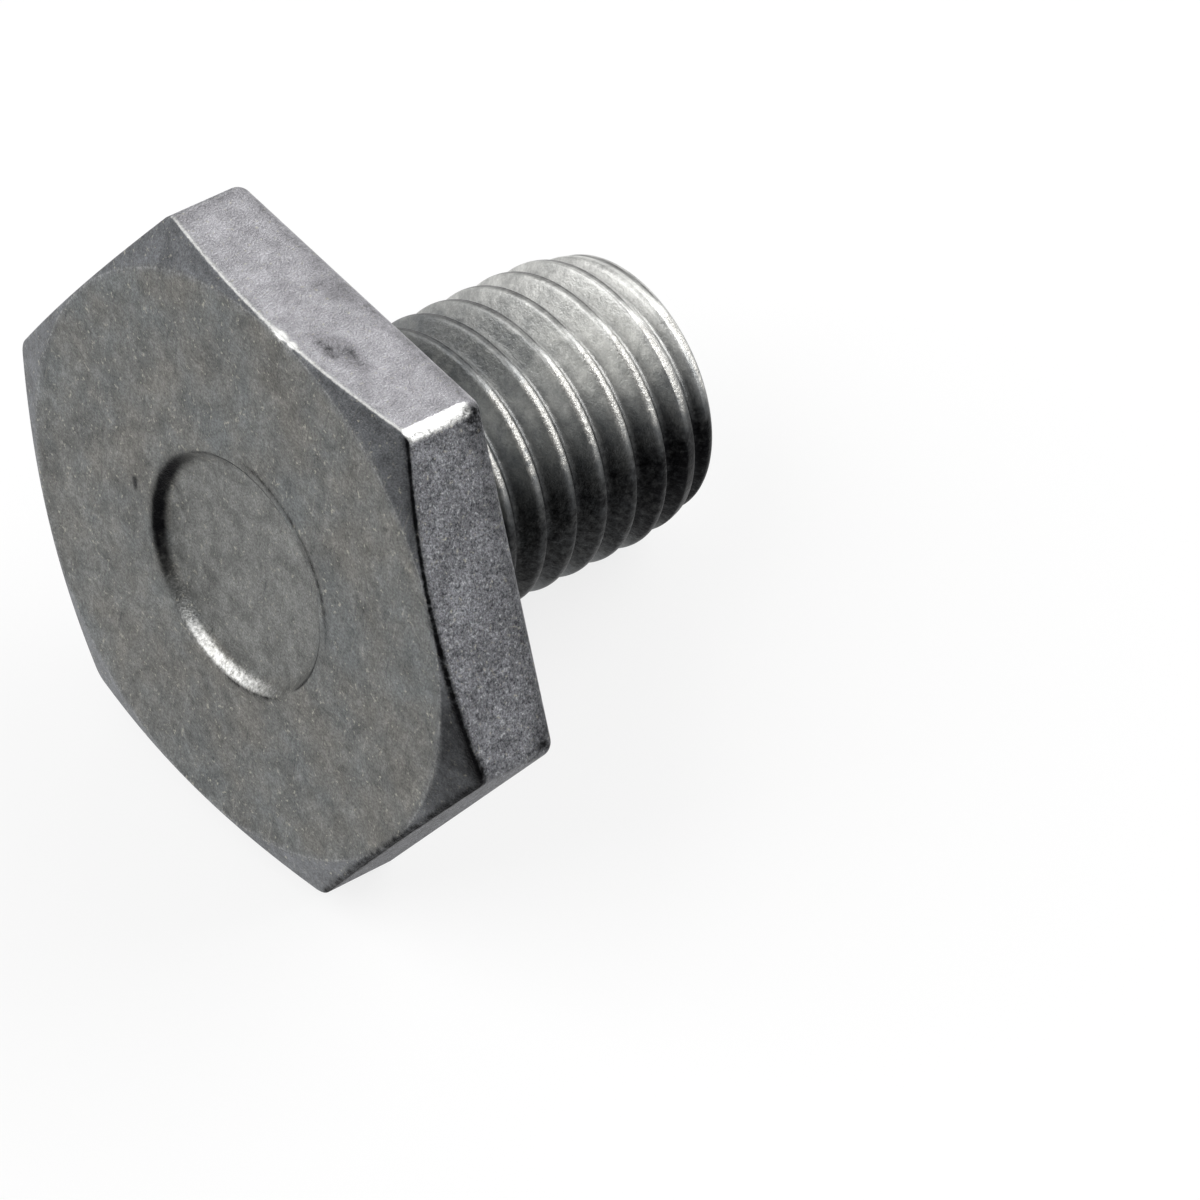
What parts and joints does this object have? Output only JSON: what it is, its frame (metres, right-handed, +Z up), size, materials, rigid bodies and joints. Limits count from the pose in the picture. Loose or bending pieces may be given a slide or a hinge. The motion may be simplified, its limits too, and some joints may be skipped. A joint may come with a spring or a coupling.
{
  "type": "oil drain plug",
  "caption": "Hexagon-head oil drain plug with a shallow round recess in the head, a plain neck for a sealing washer and a fine metric thread with a tapered lead.",
  "frame": {"origin": "centre of the part's bounding box, on the floor that the plug lies on", "axes": "+Z up; +Y along the widest part of the head, corner to corner; +X the way the thread points along the floor, with the plug's axis 23.9 degrees below it at the tip"},
  "size_m": [0.0246, 0.0276, 0.0235],
  "materials": {
    "steel": "forged and rolled steel with a dull dark finish, worn brighter on the head's corners and the thread crests"
  },
  "bodies": {
    "root": {"drain_plug": "steel"}
  },
  "joints": []
}
